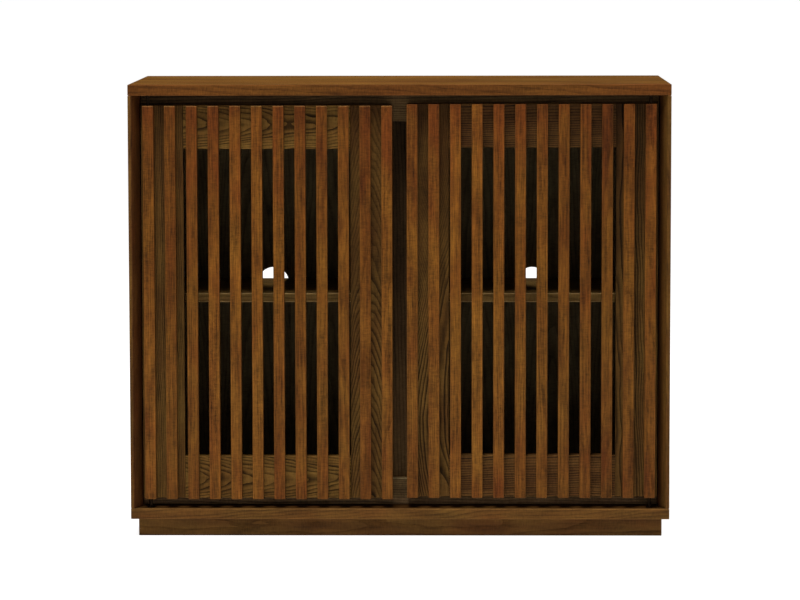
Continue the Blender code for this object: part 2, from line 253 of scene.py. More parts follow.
class MaterialBench(ShaderBench):
    """Adds and joins nodes in a new material."""

    def __init__(self, title: str) -> None:
        """Make the material.

        Args:
            title: Name of the material.
        """
        self.material = bpy.data.materials.new(title)
        self.material.use_nodes = True
        super().__init__(self.material.node_tree)
        self.shader = self.tree.nodes["Principled BSDF"]
        self.position = self.node("ShaderNodeTexCoord", {})["Object"]

    def coat(self, feeds: Feeds, relief: float, height: Feed) -> None:
        """Give the shader its look and its relief.

        Args:
            feeds: What the shader's inputs get.
            relief: How far a height of 1 stands out.
            height: The relief's height.
        """
        bump = self.node("ShaderNodeBump", {"Distance": relief, "Height": height})
        self.feed(self.shader, {**feeds, "Normal": bump["Normal"]})

    def assign(self, node: str) -> None:
        """Put the material in every slot of a CAD node.

        Args:
            node: Name of the CAD node.
        """
        for slot in bpy.data.objects[node].material_slots:
            slot.material = self.material
        LOG.info("%s dressed as %s", node, self.material.name)


class Effect(ShaderBench):
    """A shader node group that several materials share, built once."""

    title = "effect"
    takes: Mapping[str, Sequence[str]] = {}  # Its inputs' names, under their kinds of socket.
    KINDS = {"VALUE": "Float", "VECTOR": "Vector", "RGBA": "Color"}

    def __init__(self) -> None:
        """Find the group, and build it the first time."""
        made = bpy.data.node_groups.get(self.title)
        super().__init__(made or bpy.data.node_groups.new(self.title, "ShaderNodeTree"))
        if made is None:
            for kind, names in self.takes.items():
                for name in names:
                    self.offer(name, "INPUT", kind)
            results = self.work(self.node("NodeGroupInput", {}))
            for name, result in results.items():
                self.offer(name, "OUTPUT", self.KINDS[result.type])
            self.node("NodeGroupOutput", results)

    def offer(self, name: str, way: str, kind: str) -> None:
        """Add an input or output to the group."""
        self.tree.interface.new_socket(name=name, in_out=way, socket_type=f"NodeSocket{kind}")

    def work(self, given: Sockets) -> Results:
        """Build the group's inside.

        Args:
            given: The group's inputs.

        Returns:
            The group's outputs by name.
        """
        raise NotImplementedError

    def use(self, bench: ShaderBench, **values: Feed) -> Sockets:
        """Place the group in a material.

        Args:
            bench: The material's bench.
            **values: The group's inputs, with _ for a space in a name.

        Returns:
            The placed group's outputs.
        """
        feeds = {name.replace("_", " "): value for name, value in values.items()}
        return bench.node("ShaderNodeGroup", feeds, node_tree=self.tree)


class VeneerLeaves(Effect):
    """Slip-matched leaves of veneer: each repeats the last one's figure, cut a little deeper."""

    title = "veneer_leaves"
    takes = {"Vector": ("Place", "Across"), "Float": ("Seed", "Width")}

    DEEPER = 0.13
    JOINT_HALF = 0.00035

    def work(self, given: Sockets) -> Results:
        """Fold the place into one leaf and count the leaves.

        Args:
            given: The group's inputs.

        Returns:
            The place within the leaf, its seed, its tone and a mask along the joint.
        """
        reach = self.arrows("DOT_PRODUCT", given["Place"], given["Across"], gives="Value")
        leaf = self.maths("ROUND", self.maths("DIVIDE", reach, given["Width"]))
        start = self.maths("MULTIPLY", leaf, given["Width"])
        place = self.arrows("SUBTRACT", given["Place"], self.arrows("MULTIPLY", given["Across"], start))
        tone = self.chance(self.maths("ADD", leaf, given["Seed"]))
        within = self.maths("ABSOLUTE", self.maths("SUBTRACT", reach, start))
        edge = self.line(given["Width"], MIDDLE, -self.JOINT_HALF)
        joint = self.maths("GREATER_THAN", within, edge)
        seed = self.line(leaf, self.DEEPER, given["Seed"])
        return {"Place": place, "Seed": seed, "Tone": tone, "Joint": joint}


class GrowthRings(Effect):
    """Rings of a log round an upright heart, with porous early wood at the start of each."""

    title = "growth_rings"
    takes = {
        "Vector": ("Place",), "Float": ("Seed", "Ring width", "Early share", "Taper", "Bow", "Wander"),
    }

    SEED_STEP: Triple = (7.31, 3.17, 11.3)
    WANDER: Noise = (14.0, 14.0, 5.5, 1.6)
    SHAKE: Noise = (90.0, 90.0, 22.0, 1.0)
    SHAKE_SHARE = 0.16
    EARLY_SPREAD = 0.34
    BOW_RATE = 6.28
    BOW_PHASE = 1.19

    def work(self, given: Sockets) -> Results:
        """Measure how far a point is from the heart, in rings.

        Args:
            given: The group's inputs.

        Returns:
            The early wood's mask and a tone that changes from ring to ring.
        """
        parts = self.split(given["Place"])
        seeded = self.arrows("MULTIPLY_ADD", self.SEED_STEP, given["Seed"], given["Place"])
        phase = self.line(parts["Z"], self.BOW_RATE, self.BOW_PHASE)
        bowed = self.line(self.maths("COSINE", phase), given["Bow"], parts["X"])
        across = self.node("ShaderNodeCombineXYZ", {"X": bowed, "Y": parts["Y"]})["Vector"]
        length = self.arrows("LENGTH", across, gives="Value")
        drift = self.maths("SUBTRACT", self.cloud(seeded, self.WANDER), MIDDLE)
        shake = self.maths("SUBTRACT", self.cloud(seeded, self.SHAKE), MIDDLE)
        wobble = self.line(shake, self.SHAKE_SHARE, drift)
        sloped = self.line(parts["Z"], given["Taper"], length)
        radius = self.line(wobble, given["Wander"], sloped)
        rings = self.maths("DIVIDE", radius, given["Ring width"])
        tone = self.chance(self.maths("ADD", self.maths("FLOOR", rings), given["Seed"]))
        reach = self.line(tone, self.EARLY_SPREAD, given["Early share"])
        late = self.ramp(self.maths("FRACT", rings), 0.0, reach)
        early = self.maths("SUBTRACT", 1.0, late, clamp=True)
        return {"Early wood": early, "Ring tone": tone}


class WoodFibre(Effect):
    """Fibres, open pores and the slow change of tone along a board."""

    title = "wood_fibre"
    takes = {"Vector": ("Place",), "Float": ("Seed", "Early wood", "Patch")}

    SEED_STEP: Triple = (3.93, 8.71, 5.27)
    LONG: Noise = (330.0, 330.0, 7.0, 3.0)
    SHORT: Noise = (360.0, 360.0, 48.0, 3.0)
    PORE: Noise = (1500.0, 1500.0, 130.0, 1.0)
    PORE_EDGE: Pair = (0.52, 0.66)
    PORE_LEAST = 0.25
    BLOTCH: Noise = (30.0, 30.0, 11.0, 2.5)
    CLOUD: Noise = (60.0, 60.0, 14.0, 2.0)
    CLOUD_OFFSET: Triple = (0.7, 0.3, 0.9)
    FLECK: Noise = (110.0, 110.0, 460.0, 2.0)

    def work(self, given: Sockets) -> Results:
        """Stretch noises along the grain.

        Args:
            given: The group's inputs.

        Returns:
            The fibre, the pores, the blotches of red, the clouds of tone and the rays' flecks.
        """
        seeded = self.arrows("MULTIPLY_ADD", self.SEED_STEP, given["Seed"], given["Place"])
        both = self.maths("ADD", self.cloud(seeded, self.LONG), self.cloud(seeded, self.SHORT))
        fibre = self.maths("MULTIPLY", both, MIDDLE)
        specks = self.ramp(self.cloud(seeded, self.PORE), *self.PORE_EDGE)
        open_wood = self.line(given["Early wood"], 1.0 - self.PORE_LEAST, self.PORE_LEAST)
        pores = self.maths("MULTIPLY", specks, open_wood)
        spread = self.arrows("DIVIDE", seeded, given["Patch"])
        blotch = self.cloud(spread, self.BLOTCH)
        cloud = self.cloud(self.arrows("ADD", spread, self.CLOUD_OFFSET), self.CLOUD)
        fleck = self.cloud(seeded, self.FLECK)
        return {"Fibre": fibre, "Pores": pores, "Blotch": blotch, "Cloud": cloud, "Fleck": fleck}


class StainedWood(Effect):
    """The colour that one stain takes in light wood, early wood, pores and fibres."""

    title = "stained_wood"
    takes = {
        "Vector": ("Place",),
        "Color": ("Golden", "Ruddy", "Dark"),
        "Float": (
            "Ruddiness", "Drift", "Shade", "Figure", "Streaks", "Flecks", "Fade", "Early wood",
            "Ring tone", "Fibre", "Pores", "Blotch", "Cloud", "Fleck",
        ),
    }

    BLOTCH_SPREAD = 2.0
    DRIFT_MIDDLE = -0.06
    CLOUD_SHARE = 1.20
    RING_SHARE = 0.5
    FADE_REACH: Pair = (-0.10, 0.15)
    PORE_SHARE = 0.35

    def work(self, given: Sockets) -> Results:
        """Lay the ruddy and the golden stain over one another, then the dark figure.

        Args:
            given: The group's inputs.

        Returns:
            The wood's colour.
        """
        height = self.split(given["Place"])["Z"]
        along = self.maths("SUBTRACT", height, self.DRIFT_MIDDLE)
        ends = self.maths("MULTIPLY", self.maths("MULTIPLY", along, along), given["Drift"])
        patch = self.maths("SUBTRACT", given["Blotch"], MIDDLE)
        lean = self.line(patch, self.BLOTCH_SPREAD, given["Ruddiness"])
        ground = self.blend(self.maths("ADD", lean, ends, clamp=True), given["Golden"], given["Ruddy"])
        strength = self.line(given["Ring tone"], self.RING_SHARE, 1.0 - self.RING_SHARE)
        figure = self.maths("MULTIPLY", given["Early wood"], given["Figure"])
        # Painted shade: the figure grows fainter towards the upper end.
        faded = self.maths("MULTIPLY", self.ramp(height, *self.FADE_REACH), given["Fade"])
        figured = self.maths("MULTIPLY", figure, self.maths("SUBTRACT", 1.0, faded))
        lines = self.maths("MULTIPLY", figured, strength, clamp=True)
        ringed = self.blend(lines, ground, given["Dark"])
        specks = self.maths("MULTIPLY", given["Pores"], self.PORE_SHARE)
        speckled = self.blend(specks, ringed, given["Dark"])
        swing = self.maths("SUBTRACT", given["Fibre"], MIDDLE)
        speck = self.maths("SUBTRACT", given["Fleck"], MIDDLE)
        flecked = self.line(speck, given["Flecks"], 1.0 - self.CLOUD_SHARE * MIDDLE)
        haze = self.line(given["Cloud"], self.CLOUD_SHARE, flecked)
        streaked = self.line(swing, given["Streaks"], haze)
        lift = self.maths("MULTIPLY", streaked, given["Shade"])
        return {"Color": self.blend(1.0, speckled, lift, mode="MULTIPLY")}


class ArrisWearAndHighlight(Effect):
    """Where handling has rubbed the stain thin, and where arrises catch a painted highlight: along a
    board's arrises, in broken lengths.
    """

    title = "arris_wear_and_highlight"
    takes = {"Vector": ("Position", "Low", "High"), "Float": ("Width", "Seed")}

    BREAK: Noise = (55.0, 55.0, 55.0, 2.0)
    BREAK_EDGE: Pair = (0.30, 0.62)
    STEADY = 0.60

    def work(self, given: Sockets) -> Results:
        """Find the second nearest face of the board's box, which is how near an arris is.

        Args:
            given: The group's inputs.

        Returns:
            The share of rubbed arris and painted highlight, from 0 to 1.
        """
        from_low = self.arrows("SUBTRACT", given["Position"], given["Low"])
        from_high = self.arrows("SUBTRACT", given["High"], given["Position"])
        nearest = self.arrows("ABSOLUTE", self.arrows("MINIMUM", from_low, from_high))
        across, deep, high = self.split(nearest)
        wider = self.maths("MAXIMUM", across, deep)
        closer = self.maths("MINIMUM", across, deep)
        second = self.maths("MAXIMUM", closer, self.maths("MINIMUM", wider, high))
        fade = self.ramp(second, given["Width"], 0.0)
        seeded = self.arrows("ADD", given["Position"], given["Seed"])
        patches = self.ramp(self.cloud(seeded, self.BREAK), *self.BREAK_EDGE)
        kept = self.line(patches, 1.0 - self.STEADY, self.STEADY)
        return {"Wear and highlight": self.maths("MULTIPLY", fade, kept, clamp=True)}


class FaceStainAndPaintedLight(Effect):
    """A stain, painted shade or painted light that changes with the distance in from a face of a board, or
    from an arris.
    """

    title = "face_stain_and_painted_light"
    takes = {
        "Vector": ("Position", "Corner", "Look", "Second corner", "Second look"),
        "Float": ("Full", "Gone"),
        "Color": ("Color", "Tint"),
    }

    def work(self, given: Sockets) -> Results:
        """Multiply the colour by the tint near both faces.

        Args:
            given: The group's inputs.

        Returns:
            The stained colour.
        """
        depths: List[Feed] = []
        for corner, look in (("Corner", "Look"), ("Second corner", "Second look")):
            offset = self.arrows("SUBTRACT", given[corner], given["Position"])
            depths.append(self.arrows("DOT_PRODUCT", offset, given[look], gives="Value"))
        share = self.ramp(self.maths("MAXIMUM", *depths), given["Gone"], given["Full"])
        return {"Color": self.blend(share, given["Color"], given["Tint"], mode="MULTIPLY")}


class HandledSurface(Effect):
    """Uneven gloss and tone of metal and rubber that is handled."""

    title = "handled_surface"
    takes = {"Vector": ("Place",), "Color": ("Tone", "Dull tone"), "Float": ("Gloss",)}

    SMUDGE: Noise = (260.0, 260.0, 260.0, 2.0)
    SMUDGE_EDGE: Pair = (0.35, 0.65)
    BRUSH: Noise = (2600.0, 2600.0, 700.0, 1.0)
    ROUGHNESS_SWING = 0.16

    def work(self, given: Sockets) -> Results:
        """Mix smudges and fine brushing.

        Args:
            given: The group's inputs.

        Returns:
            Colour, roughness and height.
        """
        smudge = self.ramp(self.cloud(given["Place"], self.SMUDGE), *self.SMUDGE_EDGE)
        colour = self.blend(smudge, given["Tone"], given["Dull tone"])
        swing = self.maths("SUBTRACT", smudge, MIDDLE)
        rough = self.line(swing, self.ROUGHNESS_SWING, given["Gloss"])
        return {"Color": colour, "Roughness": rough, "Height": self.cloud(given["Place"], self.BRUSH)}


@dataclass(frozen=True)
class WoodFinish:
    """A stain on one kind of board."""

    name: str
    golden: Triple  # Colour where the stain leans to gold.
    ruddy: Triple  # Colour where it leans to red.
    dark: Triple  # Colour of the early wood and the pores.
    worn_and_lit: Triple  # Colour of a rubbed arris, also its painted highlight.
    ruddiness: float = 0.5  # Balance of gold and red, 0 to 1.
    drift: float = 0.0  # How much redder the board gets towards its ends.
    figure: float = 0.5  # Strength of the dark rings.
    streaks: float = 0.9  # Strength of the fibres.
    flecks: float = 0.70  # Strength of the rays' short flecks.
    ring_width: float = 0.0030  # One year's growth.
    wander: float = 0.012  # How far the rings stray.
    wear_and_highlight: float = 0.5  # Strength of the rubbed arrises and their painted highlight.
    wear_and_highlight_width: float = 0.0016  # Width of a rubbed and highlighted arris.
    roughness: Pair = (0.44, 0.62)  # Lowest and highest roughness.
    sheen: float = 0.07  # Level of the clear reflection.
    relief: float = 0.00025  # Depth of the pores.
    early_share: float = 0.34  # Least share of a ring that is dark early wood.
    leaf_width: float = 0.132  # Width of the veneer's leaves.
    leaf_swing: float = 0.12  # How much the veneer's leaves differ in tone.
    patch: float = 1.0  # Size of its blotches and clouds, 1 for the usual.

    def dress(self, node: str, cut: Cut, stains_and_painted_light: Sequence[EdgeStainAndPaintedLight] = ()) -> None:
        """Give a CAD board its own wood.

        Args:
            node: Name of the board's node.
            cut: How it was sawn.
            stains_and_painted_light: Other depths of stain, and painted shade and painted light, near its
                faces.
        """
        low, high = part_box(node)
        bench = MaterialBench(f"{self.name}_{node}")
        turn = Euler(cut.grain.value)
        shift = Vector((*cut.heart, 0.0)) - turn.to_matrix() @ ((low + high) / 2)
        placing = {"Vector": bench.position, "Rotation": turn, "Location": shift}
        place = bench.node("ShaderNodeMapping", placing, vector_type="POINT")["Vector"]
        seed: Feed = cut.seed
        shade: Feed = cut.shade
        if cut.leaf_way is not None:
            leaf = VeneerLeaves().use(
                bench, Place=place, Across=cut.leaf_way, Width=self.leaf_width, Seed=cut.seed
            )
            place, seed = leaf["Place"], leaf["Seed"]
            least = cut.shade - self.leaf_swing / 2
            toned = bench.line(leaf["Tone"], self.leaf_swing, least)
            shade = bench.line(leaf["Joint"], -self.leaf_swing, toned)
        rings = GrowthRings().use(
            bench, Place=place, Seed=seed, Ring_width=self.ring_width, Early_share=self.early_share,
            Taper=cut.taper, Bow=cut.bow, Wander=self.wander,
        )
        early = rings["Early wood"]
        fibre = WoodFibre().use(bench, Place=place, Seed=seed, Early_wood=early, Patch=self.patch)
        grown = {socket.name: socket for socket in (*rings, *fibre)}
        colour = StainedWood().use(
            bench, Place=place, Golden=self.golden, Ruddy=self.ruddy, Dark=self.dark,
            Ruddiness=self.ruddiness + cut.lean, Drift=self.drift, Shade=shade, Figure=self.figure,
            Streaks=self.streaks, Flecks=self.flecks, Fade=cut.fade, **grown,
        )["Color"]
        # Rubbed arrises, lightened partly as painted highlight.
        wear_and_highlight = ArrisWearAndHighlight().use(
            bench, Position=bench.position, Low=low, High=high, Width=self.wear_and_highlight_width, Seed=cut.seed
        )["Wear and highlight"]
        colour = bench.blend(bench.maths("MULTIPLY", wear_and_highlight, self.wear_and_highlight), colour, self.worn_and_lit)
        for near in stains_and_painted_light:
            first, second = near.face, near.also or near.face
            corners = [low if min(face.value) < 0.0 else high for face in (first, second)]
            colour = FaceStainAndPaintedLight().use(
                bench, Position=bench.position, Corner=corners[0], Look=first.value,
                Second_corner=corners[1], Second_look=second.value, Full=near.full, Gone=near.gone,
                Color=colour, Tint=near.tint,
            )["Color"]
        smooth, dull = self.roughness
        uneven = bench.line(fibre["Fibre"], dull - smooth, smooth)
        rough = bench.line(early, dull - smooth, uneven)
        pore_height, ring_height = -1.0, -0.35
        sunk = bench.line(fibre["Pores"], pore_height, fibre["Fibre"])
        height = bench.line(early, ring_height, sunk)
        look = {"Base Color": colour, "Roughness": rough, "Specular IOR Level": self.sheen}
        bench.coat(look, self.relief, height)
        bench.assign(node)


@dataclass(frozen=True)
class FittingFinish:
    """A finish for metal or rubber fittings."""

    name: str
    tone: Triple  # Colour where it is clean.
    dull_tone: Triple  # Colour where it has dulled.
    metallic: float  # 1 for bare metal.
    gloss: float  # Middle of the roughness.
    relief: float = 0.00002  # Depth of the fine brushing.

    def bench(self, title: str) -> MaterialBench:
        """Make one fitting's material.

        Args:
            title: Name of the fitting.

        Returns:
            The material's bench.
        """
        bench = MaterialBench(f"{self.name}_{title}")
        surface = HandledSurface().use(
            bench, Place=bench.position, Tone=self.tone, Dull_tone=self.dull_tone, Gloss=self.gloss
        )
        look = {
            "Base Color": surface["Color"], "Roughness": surface["Roughness"], "Metallic": self.metallic,
        }
        bench.coat(look, self.relief, surface["Height"])
        return bench


def stain(*channels: int) -> Triple:
    """Turn a display colour into linear light.

    Args:
        *channels: Red, green and blue, 0 to 255.

    Returns:
        The colour as Blender's shaders read it.
    """
    full_scale = 255.0
    toe, toe_slope, offset, gain, power = 0.04045, 12.92, 0.055, 1.055, 2.4
    levels = [channel / full_scale for channel in channels]
    return tuple(
        level / toe_slope if level <= toe else ((level + offset) / gain) ** power for level in levels
    )


CASE_WOOD = WoodFinish(
    "case_wood", stain(95, 65, 25), stain(87, 50, 18), stain(51, 30, 11), stain(145, 98, 48),
    ruddiness=0.35, streaks=0.95, ring_width=0.0034, wear_and_highlight=0.4,
)
TOP_WOOD = WoodFinish(
    "top_wood", stain(105, 72, 24), stain(92, 52, 18), stain(58, 34, 11), stain(140, 94, 44),
    ruddiness=0.35, figure=0.42, streaks=1.7, flecks=1.1, ring_width=0.0070, sheen=0.05,
    leaf_swing=0.20, patch=3.0,
)
SLAT_WOOD = WoodFinish(
    "slat_wood", stain(110, 69, 20), stain(90, 45, 12), stain(56, 28, 8), stain(146, 92, 42),
    ruddiness=0.25, drift=4.2, figure=0.30, streaks=2.7, flecks=1.0, ring_width=0.0022,
    wander=0.006, wear_and_highlight=0.25,
)
FRAME_WOOD = WoodFinish(
    "frame_wood", stain(112, 81, 35), stain(96, 60, 25), stain(28, 18, 7), stain(125, 90, 42),
    ruddiness=0.35, drift=1.5, figure=1.0, streaks=1.1, ring_width=0.0027, wander=0.014,
    wear_and_highlight=0.25, early_share=0.50,
)
RAIL_WOOD = WoodFinish(
    "rail_wood", stain(127, 93, 41), stain(110, 71, 30), stain(24, 15, 6), stain(136, 98, 47),
    ruddiness=0.30, figure=1.0, streaks=1.0, ring_width=0.0033, wander=0.024, early_share=0.50,
)
FINE_RAIL_WOOD = WoodFinish(
    "fine_rail_wood", stain(112, 78, 37), stain(99, 60, 29), stain(30, 19, 9), stain(136, 98, 47),
    ruddiness=0.45, figure=1.0, ring_width=0.0036, wander=0.014, early_share=0.44,
)
INNER_WOOD = WoodFinish(
    "inner_wood", stain(97, 73, 42), stain(86, 61, 36), stain(36, 24, 13), stain(130, 96, 54),
    figure=0.70, streaks=1.0, ring_width=0.0024, wander=0.005, early_share=0.36,
)
OLIVE_WOOD = WoodFinish(
    "olive_wood", stain(112, 88, 54), stain(102, 76, 46), stain(42, 31, 20), stain(130, 104, 66),
    figure=0.80, streaks=1.0, ring_width=0.0026, wander=0.007, early_share=0.38,
)
SHELF_WOOD = WoodFinish(
    "shelf_wood", stain(138, 108, 56), stain(124, 90, 48), stain(60, 42, 22), stain(190, 150, 94),
    figure=0.60, wear_and_highlight=0.9,
)
BACK_WOOD = WoodFinish(
    "back_wood", stain(114, 99, 67), stain(105, 86, 57), stain(46, 39, 26), stain(130, 108, 70),
    figure=0.38, streaks=0.8, ring_width=0.0046, leaf_swing=0.10,
)
DARK_BRONZE = FittingFinish("dark_bronze", stain(46, 34, 24), stain(30, 22, 15), metallic=1.0, gloss=0.60)
BLACK_STEEL = FittingFinish("black_steel", stain(78, 76, 74), stain(50, 48, 46), metallic=1.0, gloss=0.38)
RUBBER = FittingFinish("rubber", stain(22, 20, 18), stain(30, 28, 26), metallic=0.0, gloss=0.72)


@dataclass
class Carcass:
    """The case: top, base, splayed sides, partition, back, rails, shelves and plinth."""

    near: float = 0.048  # How far off the heart its boards were sawn.
    slight: float = 0.010  # Taper of the plainer boards' rings.
    strong: float = 0.045  # Taper where there are cathedral arches.
    arris: Pair = (0.0010, 0.0024)  # How far in a stain or painted light along an arris is at full strength, and gone.

    def stains_and_painted_light(self) -> Dict[str, Tuple[EdgeStainAndPaintedLight, ...]]:
        """Say which boards have painted shade, painted light or other stain near a face or an arris.

        Returns:
            The stain and painted light of each such board.
        """
        full, gone = self.arris
        front, top, bottom = Face.FRONT, Face.TOP, Face.BOTTOM
        # Painted highlights along the shelves' front arrises, and painted shade on their back edges.
        shelf = (
            *(EdgeStainAndPaintedLight(face, full, gone, tint=(1.5, 1.6, 1.8), also=front) for face in (top, bottom)),
            EdgeStainAndPaintedLight(Face.BACK, full, gone, tint=(0.14, 0.14, 0.14)),
        )
        return {
            "shelf_left": shelf,
            "shelf_right": shelf,
            "top_board": (EdgeStainAndPaintedLight(front, full=0.006, gone=0.0064, tint=(0.90, 0.74, 0.86)),),
            "base_board": (
                # Painted shade over the base's top face, under the doors.
                EdgeStainAndPaintedLight(top, full=0.0, gone=0.0006, tint=(0.55, 0.53, 0.50)),
                # Painted highlight along the base's top front arris.
                EdgeStainAndPaintedLight(top, full, gone, tint=(1.25, 1.35, 1.5), also=front),
            ),
            # Painted shade at the plinth's foot.
            "plinth_front": (EdgeStainAndPaintedLight(bottom, full, gone, tint=(0.45, 0.42, 0.40)),),
            "header_rail": (
                # Painted shade under the top board.
                EdgeStainAndPaintedLight(top, full, gone=0.011, tint=(0.60, 0.58, 0.56)),
                # Painted shade towards the header's left end.
                EdgeStainAndPaintedLight(Face.LEFT, full=0.15, gone=0.45, tint=(0.66, 0.60, 0.60)),
            ),
            "sill_rail": (
                # Painted light along the sill's lower band, below the doors.
                EdgeStainAndPaintedLight(bottom, full=0.007, gone=0.014, tint=(1.6, 1.6, 1.9)),
                # Painted highlight along the sill's top front arris.
                EdgeStainAndPaintedLight(top, full, gone, tint=(1.7, 2.1, 2.6), also=front),
            ),
            # Painted shade towards the partition's top.
            "partition": (EdgeStainAndPaintedLight(top, full=0.28, gone=0.62, tint=(0.48, 0.47, 0.46)),),
            # Painted shade on the sides' splayed front edges, leaving the outer lip light.
            "side_left": (EdgeStainAndPaintedLight(Face.LEFT, full=0.0062, gone=0.0032, tint=(0.62, 0.48, 0.54)),),
            "side_right": (EdgeStainAndPaintedLight(Face.RIGHT, full=0.017, gone=0.007, tint=(0.54, 0.46, 0.50)),),
        }

    def cuts(self) -> Tuple[Tuple[str, WoodFinish, Cut], ...]:
        """Say how the case's boards were sawn.

        Returns:
            Each board's node, finish and cut.
        """
        near, slight, strong = self.near, self.slight, self.strong
        across, up, deep = Grain.SIDEWAYS, Grain.UPRIGHT, Grain.FRONT_TO_BACK
        leaves: Triple = (0.0, 1.0, 0.0)
        back_leaves: Triple = (1.0, 0.0, 0.0)
        # Painted shade: the plinth's boards are darker, set back under the base.
        plinth_painted_shade = 0.84
        return (
            ("top_board", TOP_WOOD, Cut(across, (-near, 0.0), strong, seed=1.0, leaf_way=leaves)),
            ("base_board", CASE_WOOD, Cut(across, (near, 0.0), strong, seed=2.0, leaf_way=leaves)),
            ("side_left", CASE_WOOD, Cut(up, (-near, 0.0), strong, seed=3.0, shade=0.94, leaf_way=leaves)),
            ("side_right", CASE_WOOD, Cut(up, (near, 0.0), strong, seed=4.0, shade=0.80, leaf_way=leaves)),
            ("partition", INNER_WOOD, Cut(up, heart=(0.120, -0.10), taper=slight, seed=5.0)),
            ("back_panel", BACK_WOOD, Cut(up, (0.0, near), strong, seed=6.0, leaf_way=back_leaves)),
            ("header_rail", OLIVE_WOOD, Cut(across, (near, -near), slight, seed=7.0, shade=1.05)),
            ("sill_rail", OLIVE_WOOD, Cut(across, (-near, -near), slight, seed=8.0, shade=0.92)),
            ("shelf_left", SHELF_WOOD, Cut(across, heart=(-near, 0.05), taper=slight, seed=9.0)),
            ("shelf_right", SHELF_WOOD, Cut(across, heart=(-near, -0.07), taper=slight, seed=10.0)),
            ("plinth_front", CASE_WOOD, Cut(across, (0.01, -near), slight, seed=11.0, shade=plinth_painted_shade)),
            ("plinth_back", CASE_WOOD, Cut(across, (0.02, near), slight, seed=12.0, shade=plinth_painted_shade)),
            ("plinth_left", CASE_WOOD, Cut(deep, (-near, 0.02), slight, seed=13.0, shade=plinth_painted_shade)),
            ("plinth_right", CASE_WOOD, Cut(deep, (near, 0.01), slight, seed=14.0, shade=plinth_painted_shade)),
        )

    def dress(self) -> None:
        """Give every board of the case its wood."""
        stains_and_painted_light = self.stains_and_painted_light()
        for node, finish, cut in self.cuts():
            finish.dress(node, cut, stains_and_painted_light.get(node, ()))


@dataclass
class SlatDoor:
    """One door: a mortised frame with upright slats."""

    side: Side  # Its half of the sideboard.
    cuts: Mapping[str, Cut]  # How the frame's boards were sawn.
    rail_wood: WoodFinish
    stile_painted_shade: EdgeStainAndPaintedLight  # Painted shade towards the stiles' tops.
    slat_stains: Tuple[EdgeStainAndPaintedLight, ...]  # Stains on every slat, and any painted highlight.
    outer_painted_light: Tuple[EdgeStainAndPaintedLight, ...]  # Painted light on the outermost slat.
    first_seed: float  # Seed that the slats' own ones follow.
    ruddy_slats: Tuple[int, ...]  # Numbers of the redder slats, counted from the middle.
    ruddy_shade: float  # Added to their shade.
    shade_swing: float  # How much the slats differ in shade.
    ruddy_lean: float = 0.10  # How much redder they are.
    lean_swing: float = 0.12  # How much they differ in redness.
    slat_count: int = 12
    slat_taper: float = 0.012
    heart_reach: float = 0.090  # Farthest from the heart that they were sawn.
    seed_step: float = 1.37  # Step from one slat's seed to the next one's.

    def node(self, piece: str) -> str:
        """Name one of this door's nodes."""
        return f"door_{self.side.value}_{piece}"

    def slat_cut(self, number: int) -> Cut:
        """Say how a slat was sawn.

        Args:
            number: Its place, counted from the middle of the sideboard.

        Returns:
            Its cut.
        """
        heart_beat, shade_beat, lean_beat = 2.4, 5.1, 3.3
        seed = self.first_seed + number * self.seed_step
        heart = self.heart_reach * math.sin(seed * heart_beat)
        ruddy = number in self.ruddy_slats
        shade = 1.0 + self.shade_swing * math.sin(seed * shade_beat) + ruddy * self.ruddy_shade
        lean = self.lean_swing * math.sin(seed * lean_beat) + ruddy * self.ruddy_lean
        return Cut(Grain.UPRIGHT, (heart, -self.heart_reach), self.slat_taper, seed, shade, lean)

    def dress(self) -> None:
        """Give the frame, the slats, the pins, the bushes and the bumpers their finish."""
        for piece, cut in self.cuts.items():
            upright = cut.grain is Grain.UPRIGHT
            finish = FRAME_WOOD if upright else self.rail_wood
            finish.dress(self.node(piece), cut, (self.stile_painted_shade,) if upright else ())
        for number in range(1, self.slat_count + 1):
            outer = self.outer_painted_light if number == self.slat_count else ()
            node = self.node(f"slat_{number:02d}")
            SLAT_WOOD.dress(node, self.slat_cut(number), self.slat_stains + outer)
        for level in ("bottom", "top"):
            bush = f"bush_{self.side.value}_{level}"
            bumper = f"bumper_{self.side.value}_{level}"
            pin = self.node(f"pin_{level}")
            for node, finish in ((pin, DARK_BRONZE), (bush, DARK_BRONZE), (bumper, RUBBER)):
                finish.bench(node).assign(node)


LOW_OLIVE = EdgeStainAndPaintedLight(Face.BOTTOM, full=0.12, gone=0.42, tint=(1.0, 1.05, 1.22))
PLAIN_TAPER = 0.012
